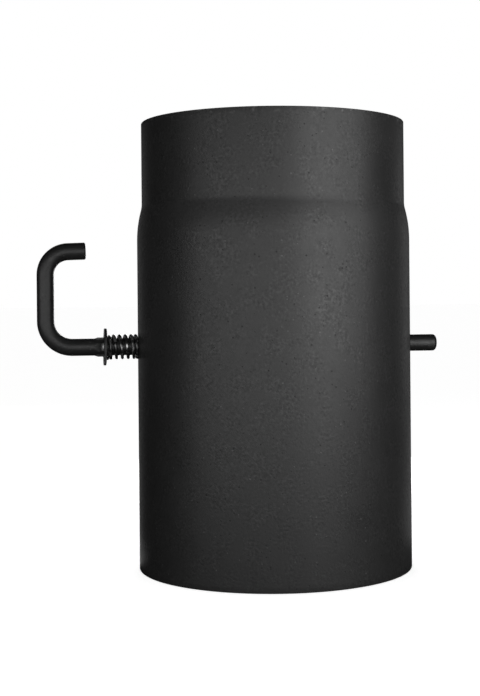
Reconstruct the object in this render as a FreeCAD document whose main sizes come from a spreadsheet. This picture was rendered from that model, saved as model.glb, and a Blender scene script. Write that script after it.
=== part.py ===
import FreeCAD, Part
import math
import os
import Sketcher
from FreeCAD import Vector

# Stove pipe damper: a welded flue pipe, drawn in at its upper end to a spigot, and crossed by a bent rod.
# The rod carries a round damper plate inside the pipe. A spring under the handle pulls the rod outwards.
# Frame: origin on the pipe's axis in the plane of the lower rim, +Z up, rod along X, handle towards -X.

# Driving dimensions in millimetres, apart from angles in degrees and counts
SIZES = {
    # Pipe
    "pipe_length": 250.0,
    "bore_diameter": 150.0,
    "wall_thickness": 2.0,
    "spigot_length": 45.0,
    "spigot_clearance": 0.75,
    "shoulder_length": 21.0,
    "crease_radius": 16.0,
    "rim_chamfer": 0.4,
    "seam_width": 3.0,
    "seam_height": 0.25,
    "shaft_height": 125.0,
    # Rod and handle
    "rod_diameter": 9.5,
    "rod_clearance": 0.25,
    "tail_length": 17.9,
    "handle_reach": 50.9,
    "handle_height": 53.4,
    "lower_bend_radius": 14.6,
    "upper_bend_radius": 12.8,
    "arm_length": 22.2,
    "arm_angle": 2.0,
    "rod_end_radius": 1.0,
    # Crimped ears that hold the spring washer
    "ear_length": 5.0,
    "ear_slope": 2.0,
    "ear_height": 0.55,
    "ear_thickness": 5.0,
    "dent_depth": 1.2,
    "dent_height": 5.0,
    "dent_lip": 0.9,
    # Spring and its washer
    "seat_gap": 0.05,
    "spring_length": 17.4,
    "wire_diameter": 1.8,
    "spring_clearance": 0.4,
    "active_turns": 4,
    "coil_gap": 0.1,
    "washer_diameter": 20.6,
    "washer_thickness": 1.7,
    "washer_clearance": 0.25,
    "washer_edge": 0.4,
    # Damper plate
    "disc_clearance": 2.5,
    "disc_wall_gap": 0.6,
    "disc_thickness": 2.0,
    "relief_height": 26.0,
    "relief_corner": 4.0,
    "flat_depth": 1.0,
    "flat_margin": 0.3,
    # Bolts that hold the plate on the rod
    "bolt_spacing": 80.0,
    "bolt_diameter": 5.0,
    "bolt_clearance": 0.2,
    "thread_clearance": 0.05,
    "bolt_tail": 1.5,
    "bolt_end_chamfer": 0.6,
    "hex_width": 8.0,
    "head_height": 3.5,
    "nut_height": 4.0,
    "plain_washer_diameter": 10.0,
    "plain_washer_thickness": 1.0,
    "spot_length": 11.0,
}

# A full turn of closed coil ends the spring on each side
CLOSED_TURNS = 1

# Sizes that follow from the driving dimensions, as expressions on the sheet
WALL_RADIUS = "(Sizes.bore_diameter / 2 + Sizes.wall_thickness)"
SPIGOT_RADIUS = "(Sizes.bore_diameter / 2 - Sizes.spigot_clearance)"
ROD_RADIUS = "(Sizes.rod_diameter / 2)"
ROD_TAIL = f"({WALL_RADIUS} + Sizes.tail_length)"
HANDLE_BAR = f"({WALL_RADIUS} + Sizes.handle_reach)"
SPRING_START = f"({WALL_RADIUS} + Sizes.seat_gap + Sizes.spring_length)"
SPRING_RADIUS = f"({ROD_RADIUS} + Sizes.spring_clearance + Sizes.wire_diameter / 2)"
COIL_OFFSET = "(Sizes.wire_diameter / 4)"
CLOSED_PITCH = "(Sizes.wire_diameter + Sizes.coil_gap)"
CLOSED_HEIGHT = f"({CLOSED_PITCH} * {CLOSED_TURNS})"
ACTIVE_HEIGHT = f"(Sizes.spring_length - 2 * {COIL_OFFSET} - 2 * {CLOSED_HEIGHT})"
WASHER_START = f"({SPRING_START} + Sizes.seat_gap + Sizes.washer_thickness)"
EAR_END = f"({WASHER_START} + Sizes.seat_gap)"
EAR_START = f"({EAR_END} + Sizes.ear_length)"
DISC_RADIUS = "(Sizes.bore_diameter / 2 - Sizes.disc_clearance)"
DISC_SHIFT = "(Sizes.disc_clearance - Sizes.disc_wall_gap)"
FLAT_PLANE = f"({ROD_RADIUS} - Sizes.flat_depth)"
FLAT_HALF = f"({DISC_RADIUS} + Sizes.flat_margin)"
FIRST_BOLT = f"(-{DISC_SHIFT} - Sizes.bolt_spacing / 2)"
SECOND_BOLT = f"(-{DISC_SHIFT} + Sizes.bolt_spacing / 2)"
BOLT_HOLE = "(Sizes.bolt_diameter + 2 * Sizes.bolt_clearance)"
DISC_BACK = f"({FLAT_PLANE} + Sizes.disc_thickness)"
NUT_SEAT = f"({DISC_BACK} + Sizes.plain_washer_thickness)"
BOLT_LENGTH = f"({FLAT_PLANE} + {NUT_SEAT} + Sizes.nut_height + Sizes.bolt_tail)"

# Sketcher's numbers for the points of a line, arc or circle, and for a sketch's own axes
START = 1
END = 2
CENTRE = 3
ORIGIN = -1
ACROSS = -1
UPWARD = -2

TOLERANCE = 1e-4

doc = FreeCAD.newDocument("stove_pipe_damper")
sheet = doc.addObject("Spreadsheet::Sheet", "Sizes")


def fill_sheet():
    for row, (name, size) in enumerate(SIZES.items(), start=1):
        sheet.set(f"A{row}", name)
        sheet.set(f"B{row}", str(size))
        sheet.setAlias(f"B{row}", name)
    doc.recompute()


def number(expression):
    return float(sheet.evalExpression(expression))


def new_body(label):
    body = doc.addObject("PartDesign::Body", label)
    body.Label = label
    return body


def place(body, x="0", y="0", z="0"):
    body.setExpression("Placement.Base.x", x)
    body.setExpression("Placement.Base.y", y)
    body.setExpression("Placement.Base.z", z)


def new_sketch(body, name, role, offset=None):
    # XZ_Plane faces -Y, YZ_Plane faces +X, and offset moves the sketch that way
    sketch = body.newObject("Sketcher::SketchObject", name)
    plane = next(feature for feature in body.Origin.OriginFeatures if feature.Role == role)
    sketch.AttachmentSupport = [(plane, "")]
    sketch.MapMode = "FlatFace"
    if offset:
        sketch.setExpression("AttachmentOffset.Base.z", offset)
    return sketch


def dimension(sketch, expression, kind, *elements):
    index = sketch.addConstraint(Sketcher.Constraint(kind, *elements, number(expression)))
    sketch.setExpression(f"Constraints[{index}]", expression)


def relate(sketch, kind, *elements):
    sketch.addConstraint(Sketcher.Constraint(kind, *elements))


def pin_point(sketch, shape, point, x, y):
    if x == "0":
        relate(sketch, "PointOnObject", shape, point, UPWARD)
    else:
        dimension(sketch, x, "DistanceX", ORIGIN, START, shape, point)
    if y == "0":
        relate(sketch, "PointOnObject", shape, point, ACROSS)
    else:
        dimension(sketch, y, "DistanceY", ORIGIN, START, shape, point)


def add_line(sketch, start, end):
    return sketch.addGeometry(Part.LineSegment(Vector(*start, 0), Vector(*end, 0)))


def add_arc(sketch, centre, radius, first, last):
    circle = Part.Circle(Vector(*centre, 0), Vector(0, 0, 1), radius)
    return sketch.addGeometry(Part.ArcOfCircle(circle, first, last))


def add_circle(sketch, diameter, x="0", y="0"):
    centre = Vector(number(x), number(y), 0)
    shape = sketch.addGeometry(Part.Circle(centre, Vector(0, 0, 1), number(diameter) / 2))
    pin_point(sketch, shape, CENTRE, x, y)
    dimension(sketch, diameter, "Diameter", shape)


def add_rectangle(sketch, left, right, bottom, top):
    x0, x1, y0, y1 = (number(edge) for edge in (left, right, bottom, top))
    corners = [(x0, y0), (x1, y0), (x1, y1), (x0, y1)]
    sides = [add_line(sketch, corners[i], corners[(i + 1) % 4]) for i in range(4)]
    for i in range(4):
        relate(sketch, "Coincident", sides[i], END, sides[(i + 1) % 4], START)
        relate(sketch, "Vertical" if i % 2 else "Horizontal", sides[i])
    pin_point(sketch, sides[0], START, left, bottom)
    pin_point(sketch, sides[2], START, right, top)


def add_hexagon(sketch, width):
    flat = number(width) / 2
    corner_radius = flat / math.cos(math.pi / 6)
    angles = [math.pi / 6 + i * math.pi / 3 for i in range(6)]
    corners = [(corner_radius * math.cos(a), corner_radius * math.sin(a)) for a in angles]
    sides = [add_line(sketch, corners[i], corners[(i + 1) % 6]) for i in range(6)]
    rim = sketch.addGeometry(Part.Circle(Vector(0, 0, 0), Vector(0, 0, 1), corner_radius), True)
    pin_point(sketch, rim, CENTRE, "0", "0")
    for i in range(6):
        relate(sketch, "Coincident", sides[i], END, sides[(i + 1) % 6], START)
        relate(sketch, "PointOnObject", sides[i], START, rim)
    for side in sides[1:]:
        relate(sketch, "Equal", sides[0], side)
    relate(sketch, "Vertical", sides[5])
    dimension(sketch, f"{width} / 2", "DistanceX", ORIGIN, START, sides[5], START)


def pad(body, sketch, length, backwards=False, symmetric=False):
    feature = body.newObject("PartDesign::Pad", sketch.Name + "_pad")
    feature.Profile = sketch
    feature.setExpression("Length", length)
    feature.Reversed = backwards
    feature.SideType = "Symmetric" if symmetric else "One side"
    doc.recompute()
    return feature


def pocket(body, sketch, length=None, backwards=False, symmetric=False):
    # With no length, the cut runs through the whole body both ways
    before = body.Shape.Volume
    feature = body.newObject("PartDesign::Pocket", sketch.Name + "_cut")
    feature.Profile = sketch
    feature.Reversed = backwards
    feature.SideType = "Symmetric" if symmetric or not length else "One side"
    if length:
        feature.Type = "Length"
        feature.setExpression("Length", length)
    else:
        feature.Type = "ThroughAll"
    doc.recompute()
    if body.Shape.Volume > before - TOLERANCE:
        raise RuntimeError(f"{feature.Label} cuts nothing")
    return feature


def revolve(body, sketch, axis, angle, midplane=False):
    feature = body.newObject("PartDesign::Revolution", sketch.Name + "_turn")
    feature.Profile = sketch
    feature.ReferenceAxis = (sketch, [axis])
    feature.setExpression("Angle", angle)
    feature.Midplane = midplane
    doc.recompute()
    return feature


def edges_where(feature, test):
    return [f"Edge{i}" for i, edge in enumerate(feature.Shape.Edges, start=1) if test(edge)]


def round_edge_at(axis, *places):
    # True for a circular edge whose centre lies at one of the places along the axis
    def test(edge):
        if not isinstance(edge.Curve, Part.Circle):
            return False
        return any(abs(getattr(edge.Curve.Center, axis) - place) < TOLERANCE for place in places)
    return test


def break_edges(body, feature, kind, size, test):
    names = edges_where(feature, test)
    if not names:
        raise RuntimeError(f"{feature.Label} has no such edge")
    dressed = body.newObject(f"PartDesign::{kind}", f"{feature.Name}_{kind.lower()}")
    dressed.Base = (feature, names)
    dressed.setExpression("Radius" if kind == "Fillet" else "Size", size)
    doc.recompute()
    return dressed


def wall_outline(sketch, proud="0"):
    # Half section of the pipe's wall, made thicker on both faces by proud
    bore = f"(Sizes.bore_diameter / 2 - {proud})"
    wall = f"(Sizes.wall_thickness + 2 * {proud})"
    spigot = f"({SPIGOT_RADIUS} + {proud})"
    crease = f"(Sizes.crease_radius - {proud})"

    inner = number(bore)
    thickness = number(wall)
    outer = inner + thickness
    neck = number(spigot)
    top = number("Sizes.pipe_length")
    neck_foot = top - number("Sizes.spigot_length")
    shoulder = number("Sizes.shoulder_length")
    shoulder_foot = neck_foot - shoulder

    # The shoulder is an S of two arcs: a swell on the socket's side and a crease on the spigot's
    drop = outer - neck
    radii = (shoulder ** 2 + drop ** 2) / (2 * drop)
    crease_radius = number(crease)
    swell_radius = radii - crease_radius
    swell_centre = (outer - swell_radius, shoulder_foot)
    crease_centre = (neck + crease_radius, neck_foot)
    lean = math.atan2(shoulder, radii - drop)

    foot = add_line(sketch, (inner, 0), (outer, 0))
    socket_out = add_line(sketch, (outer, 0), (outer, shoulder_foot))
    swell_out = add_arc(sketch, swell_centre, swell_radius, 0, lean)
    crease_out = add_arc(sketch, crease_centre, crease_radius, math.pi, math.pi + lean)
    spigot_out = add_line(sketch, (neck, neck_foot), (neck, top))
    rim = add_line(sketch, (neck, top), (neck - thickness, top))
    spigot_in = add_line(sketch, (neck - thickness, top), (neck - thickness, neck_foot))
    crease_in = add_arc(sketch, crease_centre, crease_radius + thickness, math.pi, math.pi + lean)
    swell_in = add_arc(sketch, swell_centre, swell_radius - thickness, 0, lean)
    socket_in = add_line(sketch, (inner, shoulder_foot), (inner, 0))

    relate(sketch, "Coincident", foot, END, socket_out, START)
    relate(sketch, "Tangent", socket_out, END, swell_out, START)
    relate(sketch, "Tangent", swell_out, END, crease_out, END)
    relate(sketch, "Tangent", crease_out, START, spigot_out, START)
    relate(sketch, "Coincident", spigot_out, END, rim, START)
    relate(sketch, "Coincident", rim, END, spigot_in, START)
    relate(sketch, "Tangent", spigot_in, END, crease_in, START)
    relate(sketch, "Tangent", crease_in, END, swell_in, END)
    relate(sketch, "Tangent", swell_in, START, socket_in, START)
    relate(sketch, "Coincident", socket_in, END, foot, START)
    relate(sketch, "Coincident", swell_out, CENTRE, swell_in, CENTRE)
    relate(sketch, "Coincident", crease_out, CENTRE, crease_in, CENTRE)
    for line in (foot, rim):
        relate(sketch, "Horizontal", line)
    for line in (socket_out, spigot_out, spigot_in, socket_in):
        relate(sketch, "Vertical", line)

    pin_point(sketch, foot, START, bore, "0")
    dimension(sketch, wall, "DistanceX", foot, START, foot, END)
    pin_point(sketch, spigot_out, END, spigot, "Sizes.pipe_length")
    dimension(sketch, "Sizes.spigot_length", "DistanceY", spigot_out, START, spigot_out, END)
    dimension(sketch, "Sizes.shoulder_length", "DistanceY", swell_out, CENTRE, crease_out, CENTRE)
    dimension(sketch, crease, "Radius", crease_out)


def make_pipe_body():
    body = new_body("pipe_body")
    wall = new_sketch(body, "wall", "XZ_Plane")
    wall_outline(wall)
    tube = revolve(body, wall, "V_Axis", "360")
    rims = round_edge_at("z", 0, number("Sizes.pipe_length"))
    break_edges(body, tube, "Chamfer", "Sizes.rim_chamfer", rims)

    # Weld seam along the back, a low bead that stands out of both faces
    seam = new_sketch(body, "seam", "YZ_Plane")
    wall_outline(seam, "Sizes.seam_height")
    revolve(body, seam, "V_Axis", f"Sizes.seam_width / {WALL_RADIUS} * 180 / pi", midplane=True)

    holes = new_sketch(body, "rod_holes", "YZ_Plane")
    add_circle(holes, "(Sizes.rod_diameter + 2 * Sizes.rod_clearance)", y="Sizes.shaft_height")
    pocket(body, holes)
    return body


def handle_path(sketch):
    # Centre line of the rod: along the shaft, up the handle's bar and back over the top arm
    tail = number(ROD_TAIL)
    bar = -number(HANDLE_BAR)
    height = number("Sizes.handle_height")
    low_radius = number("Sizes.lower_bend_radius")
    high_radius = number("Sizes.upper_bend_radius")
    arm_length = number("Sizes.arm_length")
    tilt = math.radians(number("Sizes.arm_angle"))

    turn_end = high_radius * (1 - math.sin(tilt))
    arm_start_height = height - (arm_length - turn_end) * math.tan(tilt)
    high_centre = arm_start_height - high_radius * math.cos(tilt)

    shaft = add_line(sketch, (tail, 0), (bar + low_radius, 0))
    low_bend = add_arc(sketch, (bar + low_radius, low_radius), low_radius, math.pi, 1.5 * math.pi)
    grip = add_line(sketch, (bar, low_radius), (bar, high_centre))
    high_bend = add_arc(
        sketch, (bar + high_radius, high_centre), high_radius, math.pi / 2 + tilt, math.pi
    )
    arm = add_line(sketch, (bar + turn_end, arm_start_height), (bar + arm_length, height))

    relate(sketch, "Tangent", shaft, END, low_bend, END)
    relate(sketch, "Tangent", low_bend, START, grip, START)
    relate(sketch, "Tangent", grip, END, high_bend, END)
    relate(sketch, "Tangent", high_bend, START, arm, START)
    relate(sketch, "Horizontal", shaft)
    relate(sketch, "Vertical", grip)

    pin_point(sketch, shaft, START, ROD_TAIL, "0")
    dimension(sketch, f"-{HANDLE_BAR}", "DistanceX", ORIGIN, START, grip, START)
    dimension(sketch, "Sizes.lower_bend_radius", "Radius", low_bend)
    dimension(sketch, "Sizes.upper_bend_radius", "Radius", high_bend)
    dimension(sketch, "Sizes.arm_length", "DistanceX", grip, END, arm, END)
    dimension(sketch, "Sizes.handle_height", "DistanceY", ORIGIN, START, arm, END)
    dimension(sketch, "Sizes.arm_angle * 1 deg", "Angle", arm)


def add_polygon(sketch, corners):
    points = [(number(x), number(y)) for x, y in corners]
    count = len(points)
    sides = [add_line(sketch, points[i], points[(i + 1) % count]) for i in range(count)]
    for i in range(count):
        relate(sketch, "Coincident", sides[i], END, sides[(i + 1) % count], START)
        pin_point(sketch, sides[i], START, *corners[i])


def ear_outline(sketch):
    # Side view of the crimp: it rises from the rod over ear_slope, then runs level to the washer
    left = f"-{EAR_START}"
    crest = f"(-{EAR_START} + Sizes.ear_slope)"
    right = f"-{EAR_END}"
    level = f"({ROD_RADIUS} + Sizes.ear_height)"
    low = f"({ROD_RADIUS} - Sizes.ear_height)"
    below = [(left, f"-{low}"), (crest, f"-{level}"), (right, f"-{level}")]
    above = [(right, level), (crest, level), (left, low)]
    add_polygon(sketch, below + above)


def dent_outline(sketch, side):
    # Top view of one chisel mark: it slopes into the rod and ends in a wall, one lip short of the washer
    left = f"-{EAR_START}"
    wall = f"(-{EAR_END} - Sizes.dent_lip)"
    rod = f"{side}{ROD_RADIUS}"
    deep = f"{side}({ROD_RADIUS} - Sizes.dent_depth)"
    clear = f"{side}({ROD_RADIUS} + Sizes.dent_depth)"
    add_polygon(sketch, [(left, rod), (wall, deep), (wall, clear), (left, clear)])


def make_handle_shaft():
    body = new_body("handle_shaft")
    place(body, z="Sizes.shaft_height")

    path = new_sketch(body, "rod_path", "XZ_Plane")
    handle_path(path)
    section = new_sketch(body, "rod_section", "YZ_Plane", ROD_TAIL)
    add_circle(section, "Sizes.rod_diameter")
    doc.recompute()
    rod = body.newObject("PartDesign::AdditivePipe", "rod")
    rod.Profile = section
    rod.Spine = path
    rod.Mode = "Frenet"
    doc.recompute()
    free_ends = [number(ROD_TAIL), -number(HANDLE_BAR) + number("Sizes.arm_length")]
    break_edges(body, rod, "Fillet", "Sizes.rod_end_radius", round_edge_at("x", *free_ends))

    # Crimp that keeps the washer: ears above and below, a chisel mark in front and behind
    ears = new_sketch(body, "ears", "XZ_Plane")
    ear_outline(ears)
    pad(body, ears, "Sizes.ear_thickness", symmetric=True)
    for name, side in (("front_dent", "-"), ("back_dent", "")):
        dent = new_sketch(body, name, "XY_Plane")
        dent_outline(dent, side)
        pocket(body, dent, "Sizes.dent_height", symmetric=True)

    # Long flat that the plate lies on, behind the rod, and a short flat under each bolt head, in front
    plate_flat = new_sketch(body, "plate_flat", "XZ_Plane", f"-{FLAT_PLANE}")
    add_rectangle(
        plate_flat,
        f"(-{DISC_SHIFT} - {FLAT_HALF})",
        f"(-{DISC_SHIFT} + {FLAT_HALF})",
        "(-Sizes.rod_diameter)",
        "(Sizes.rod_diameter)",
    )
    pocket(body, plate_flat, "Sizes.rod_diameter")
    for name, bolt in (("first", FIRST_BOLT), ("second", SECOND_BOLT)):
        spot = new_sketch(body, f"{name}_spot", "XZ_Plane", FLAT_PLANE)
        add_rectangle(
            spot,
            f"({bolt} - Sizes.spot_length / 2)",
            f"({bolt} + Sizes.spot_length / 2)",
            "(-Sizes.rod_diameter)",
            "(Sizes.rod_diameter)",
        )
        pocket(body, spot, "Sizes.rod_diameter", backwards=True)

    bolt_holes = new_sketch(body, "bolt_holes", "XZ_Plane")
    for bolt in (FIRST_BOLT, SECOND_BOLT):
        add_circle(bolt_holes, BOLT_HOLE, x=bolt)
    pocket(body, bolt_holes)
    return body


def make_spring_washer():
    body = new_body("spring_washer")
    place(body, x=f"-{WASHER_START}", z="Sizes.shaft_height")
    ring = new_sketch(body, "ring", "YZ_Plane")
    add_circle(ring, "Sizes.washer_diameter")
    add_circle(ring, "(Sizes.rod_diameter + 2 * Sizes.washer_clearance)")
    plate = pad(body, ring, "Sizes.washer_thickness")
    faces = round_edge_at("x", 0, number("Sizes.washer_thickness"))
    break_edges(body, plate, "Chamfer", "Sizes.washer_edge", faces)
    return body


def make_spring():
    # Right-hand compression spring from the washer to the wall, with closed and ground ends
    body = new_body("spring")
    place(body, x=f"-{SPRING_START}", z="Sizes.shaft_height")
    first_active = f"({COIL_OFFSET} + {CLOSED_HEIGHT})"
    last_active = f"({first_active} + {ACTIVE_HEIGHT})"
    active_pitch = f"({ACTIVE_HEIGHT} / Sizes.active_turns)"
    spans = (
        ("washer_coil", COIL_OFFSET, CLOSED_PITCH, str(CLOSED_TURNS)),
        ("active_coils", first_active, active_pitch, "Sizes.active_turns"),
        ("wall_coil", last_active, CLOSED_PITCH, str(CLOSED_TURNS)),
    )
    for name, start, pitch, turns in spans:
        wire = new_sketch(body, f"{name}_wire", "XZ_Plane")
        add_circle(wire, "Sizes.wire_diameter", x=start, y=f"-{SPRING_RADIUS}")
        doc.recompute()
        coil = body.newObject("PartDesign::AdditiveHelix", name)
        coil.Profile = wire
        coil.ReferenceAxis = (wire, ["H_Axis"])
        coil.Mode = "pitch-turns-angle"
        coil.setExpression("Pitch", pitch)
        coil.setExpression("Turns", turns)
        doc.recompute()

    # Both ends are ground flat
    for name, offset, backwards in (("washer_end", "0", False), ("wall_end", "Sizes.spring_length", True)):
        end = new_sketch(body, name, "YZ_Plane", offset)
        add_circle(end, f"(2 * {SPRING_RADIUS} + 2 * Sizes.wire_diameter)")
        pocket(body, end, "Sizes.wire_diameter", backwards)
    return body


def make_damper_disc():
    body = new_body("damper_disc")
    place(body, x=f"-{DISC_SHIFT}", y=FLAT_PLANE, z="Sizes.shaft_height")
    relief_line = f"({DISC_RADIUS} - Sizes.relief_height)"
    radius = number(DISC_RADIUS)
    lift = number(relief_line)
    corner = math.asin(lift / radius)
    half_chord = radius * math.cos(corner)

    outline = new_sketch(body, "disc_outline", "XZ_Plane")
    rim = add_arc(outline, (0, 0), radius, math.pi - corner, 2 * math.pi + corner)
    chord = add_line(outline, (half_chord, lift), (-half_chord, lift))
    relate(outline, "Coincident", rim, END, chord, START)
    relate(outline, "Coincident", chord, END, rim, START)
    relate(outline, "Horizontal", chord)
    pin_point(outline, rim, CENTRE, "0", "0")
    dimension(outline, DISC_RADIUS, "Radius", rim)
    dimension(outline, relief_line, "DistanceY", ORIGIN, START, chord, START)
    for bolt in ("(-Sizes.bolt_spacing / 2)", "(Sizes.bolt_spacing / 2)"):
        add_circle(outline, BOLT_HOLE, x=bolt)
    plate = pad(body, outline, "Sizes.disc_thickness", backwards=True)

    def is_corner(edge):
        ends = edge.BoundBox
        return ends.XLength < TOLERANCE and ends.ZLength < TOLERANCE and abs(ends.ZMin - lift) < TOLERANCE

    break_edges(body, plate, "Fillet", "Sizes.relief_corner", is_corner)
    return body


def repeat_along_rod(body):
    # Second copy of the whole piece, one bolt spacing further along the rod
    base = body.Tip
    body.AllowCompound = True
    copies = body.newObject("PartDesign::LinearPattern", f"{body.Name}_pair")
    copies.TransformMode = "Whole shape"
    axis = next(feature for feature in body.Origin.OriginFeatures if feature.Role == "X_Axis")
    copies.Direction = (axis, [""])
    copies.Occurrences = 2
    copies.setExpression("Length", "Sizes.bolt_spacing")
    body.Tip = copies
    doc.recompute()
    if len(body.Shape.Solids) != 2:
        raise RuntimeError(f"{base.Label} wasn't repeated")


def make_disc_bolts():
    body = new_body("disc_bolts")
    place(body, x=FIRST_BOLT, y=f"-{FLAT_PLANE}", z="Sizes.shaft_height")
    head = new_sketch(body, "bolt_head", "XZ_Plane")
    add_hexagon(head, "Sizes.hex_width")
    pad(body, head, "Sizes.head_height")
    shank = new_sketch(body, "bolt_shank", "XZ_Plane")
    add_circle(shank, "Sizes.bolt_diameter")
    bolt = pad(body, shank, BOLT_LENGTH, backwards=True)
    break_edges(body, bolt, "Chamfer", "Sizes.bolt_end_chamfer", round_edge_at("y", number(BOLT_LENGTH)))
    repeat_along_rod(body)
    return body


def make_disc_washers():
    body = new_body("disc_washers")
    place(body, x=FIRST_BOLT, y=DISC_BACK, z="Sizes.shaft_height")
    ring = new_sketch(body, "plain_washer", "XZ_Plane")
    add_circle(ring, "Sizes.plain_washer_diameter")
    add_circle(ring, BOLT_HOLE)
    pad(body, ring, "Sizes.plain_washer_thickness", backwards=True)
    repeat_along_rod(body)
    return body


def make_disc_nuts():
    body = new_body("disc_nuts")
    place(body, x=FIRST_BOLT, y=NUT_SEAT, z="Sizes.shaft_height")
    block = new_sketch(body, "nut_block", "XZ_Plane")
    add_hexagon(block, "Sizes.hex_width")
    add_circle(block, "(Sizes.bolt_diameter + 2 * Sizes.thread_clearance)")
    pad(body, block, "Sizes.nut_height", backwards=True)
    repeat_along_rod(body)
    return body


def check_model(parts):
    doc.recompute()
    failed = [item.Label for item in doc.Objects if "Invalid" in item.State or "Error" in item.State]
    failed += [part.Label for part in parts if part.Shape.isNull() or not part.Shape.isValid()]
    if failed:
        raise RuntimeError("failed: " + ", ".join(failed))


def write_parts(parts):
    os.makedirs("parts", exist_ok=True)
    for part in parts:
        part.Shape.exportStep(f"parts/{part.Label}.step")


fill_sheet()
PARTS = [
    make_pipe_body(),
    make_handle_shaft(),
    make_spring_washer(),
    make_spring(),
    make_damper_disc(),
    make_disc_bolts(),
    make_disc_washers(),
    make_disc_nuts(),
]
check_model(PARTS)
write_parts(PARTS)
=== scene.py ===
import math

import bmesh
import bpy
from mathutils import Matrix, Vector
from mathutils.geometry import tessellate_polygon


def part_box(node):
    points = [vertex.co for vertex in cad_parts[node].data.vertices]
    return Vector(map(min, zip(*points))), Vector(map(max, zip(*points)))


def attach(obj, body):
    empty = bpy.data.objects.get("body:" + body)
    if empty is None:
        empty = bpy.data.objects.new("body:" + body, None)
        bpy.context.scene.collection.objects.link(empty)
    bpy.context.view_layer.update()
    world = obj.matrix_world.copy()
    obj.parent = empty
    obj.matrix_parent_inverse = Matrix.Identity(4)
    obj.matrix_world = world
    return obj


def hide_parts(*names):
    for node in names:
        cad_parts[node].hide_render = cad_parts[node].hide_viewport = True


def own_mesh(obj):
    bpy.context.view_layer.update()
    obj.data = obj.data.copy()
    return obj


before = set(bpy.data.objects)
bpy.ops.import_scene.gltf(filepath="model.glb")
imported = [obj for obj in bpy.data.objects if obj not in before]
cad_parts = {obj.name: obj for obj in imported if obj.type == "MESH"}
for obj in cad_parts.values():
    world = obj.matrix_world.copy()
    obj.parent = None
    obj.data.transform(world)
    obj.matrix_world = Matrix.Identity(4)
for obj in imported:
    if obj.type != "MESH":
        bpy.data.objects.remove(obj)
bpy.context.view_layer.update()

# Looks of a stove pipe damper: matte black flue pipe, bent rod with a spring, damper plate inside.
# Lengths are in metres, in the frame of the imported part: pipe along Z, rod along X, handle towards -X.
MM = 0.001

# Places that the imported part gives
pipe_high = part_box("pipe_body")[1]
rod_low, rod_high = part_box("handle_shaft")
washer_low, washer_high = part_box("spring_washer")
spring_low, spring_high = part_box("spring")
disc_low, disc_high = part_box("damper_disc")
bolt_low, bolt_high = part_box("disc_bolts")
plain_low, plain_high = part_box("disc_washers")
nut_low, nut_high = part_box("disc_nuts")

# Pipe
PIPE_LENGTH = pipe_high.z
WALL_RADIUS = pipe_high.x
WALL = 2 * MM
SPIGOT_PLAY = 0.75 * MM
SPIGOT_RADIUS = WALL_RADIUS - WALL - SPIGOT_PLAY
SPIGOT_LENGTH = 45 * MM
SHOULDER_LENGTH = 21 * MM
CREASE_RADIUS = 16 * MM
RIM_ROUND = 0.4 * MM
PIPE_COLUMNS = 288
WALL_ROWS = 60
SWELL_ROWS = 12
CREASE_ROWS = 14
SPIGOT_ROWS = 16
RIM_ROWS = 4
CUTTER_SIDES = 64

# Weld bead along the back
BEAD_HEIGHT = pipe_high.y - WALL_RADIUS
BEAD_WIDTH = 3 * MM
BEAD_ROOT = 0.3 * MM
BEAD_STEP = 0.28 * MM
BEAD_COLUMNS = 10
RIPPLE_SPACING = 1.1 * MM
RIPPLE_SHARE = 0.14
RIPPLE_BOW = 0.5

# Rod and handle
ROD_HEIGHT = (washer_low.z + washer_high.z) / 2
ROD_RADIUS = 4.75 * MM
ROD_HOLE = 5 * MM
ROD_TAIL = rod_high.x
HANDLE_BAR = rod_low.x + ROD_RADIUS
HANDLE_TOP = ROD_HEIGHT + 53.4 * MM
LOWER_BEND = 14.6 * MM
UPPER_BEND = 12.8 * MM
ARM_LENGTH = 22.2 * MM
ARM_ANGLE = math.radians(2)
ARM_END_ROUND = 1 * MM
TAIL_END_ROUND = 2 * MM
ROD_SIDES = 96
SHAFT_RINGS = 60
CRIMP_RINGS = 40
BEND_RINGS = 28
END_RINGS = 8
HAIR = 0.01 * MM

# Crimp beside the washer
CRIMP_RIGHT = washer_low.x - 0.05 * MM
CRIMP_LEFT = CRIMP_RIGHT - 5 * MM
EAR_SLOPE = 2 * MM
EAR_HEIGHT = 0.55 * MM
EAR_HALF = 2.5 * MM
EAR_FILLET = 0.25 * MM
EAR_FILLET_LENGTH = 0.7 * MM
DENT_DEPTH = 1.2 * MM
DENT_HALF = 2.5 * MM
DENT_LIP = 0.9 * MM
DENT_STEP = 0.25 * MM
DENT_FADE_START = DENT_HALF - 0.3 * MM
DENT_FADE_END = DENT_HALF + 0.1 * MM

# Spring
WIRE_RADIUS = 0.9 * MM
WIRE_SIDES = 20
WIRE_RINGS_PER_TURN = 48
WIRE_TAIL = 0.2
COIL_PLAY = 0.4 * MM
COIL_RADIUS = ROD_RADIUS + COIL_PLAY + WIRE_RADIUS
CLOSED_PITCH = 1.82 * MM
ACTIVE_TURNS = 4
END_COIL_SAG = 0.35 * MM
SAG_FULL_TURN = 0.5
SAG_LAST_TURN = 1.5

# Washer behind the spring
WASHER_BORE = 5 * MM
WASHER_RADIUS = (washer_high.z - washer_low.z) / 2
WASHER_TILT = math.radians(1.2)
WASHER_SPARE = 0.1 * MM
WASHER_ROUND = 0.35 * MM
WASHER_SIDES = 96
WASHER_EDGE_STEPS = 6

# Damper plate
DISC_RADIUS = (disc_high.x - disc_low.x) / 2
DISC_CENTRE = (disc_high.x + disc_low.x) / 2
DISC_SIDES = 180
DISC_HOLE_SIDES = 48
RELIEF_LINE = disc_high.z - ROD_HEIGHT
RELIEF_CORNER = 4 * MM
RELIEF_STEPS = 10
PLATE_EDGE = 0.15 * MM
FLAT_PLANE = disc_low.y
FLAT_HALF = DISC_RADIUS + 0.3 * MM

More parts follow.
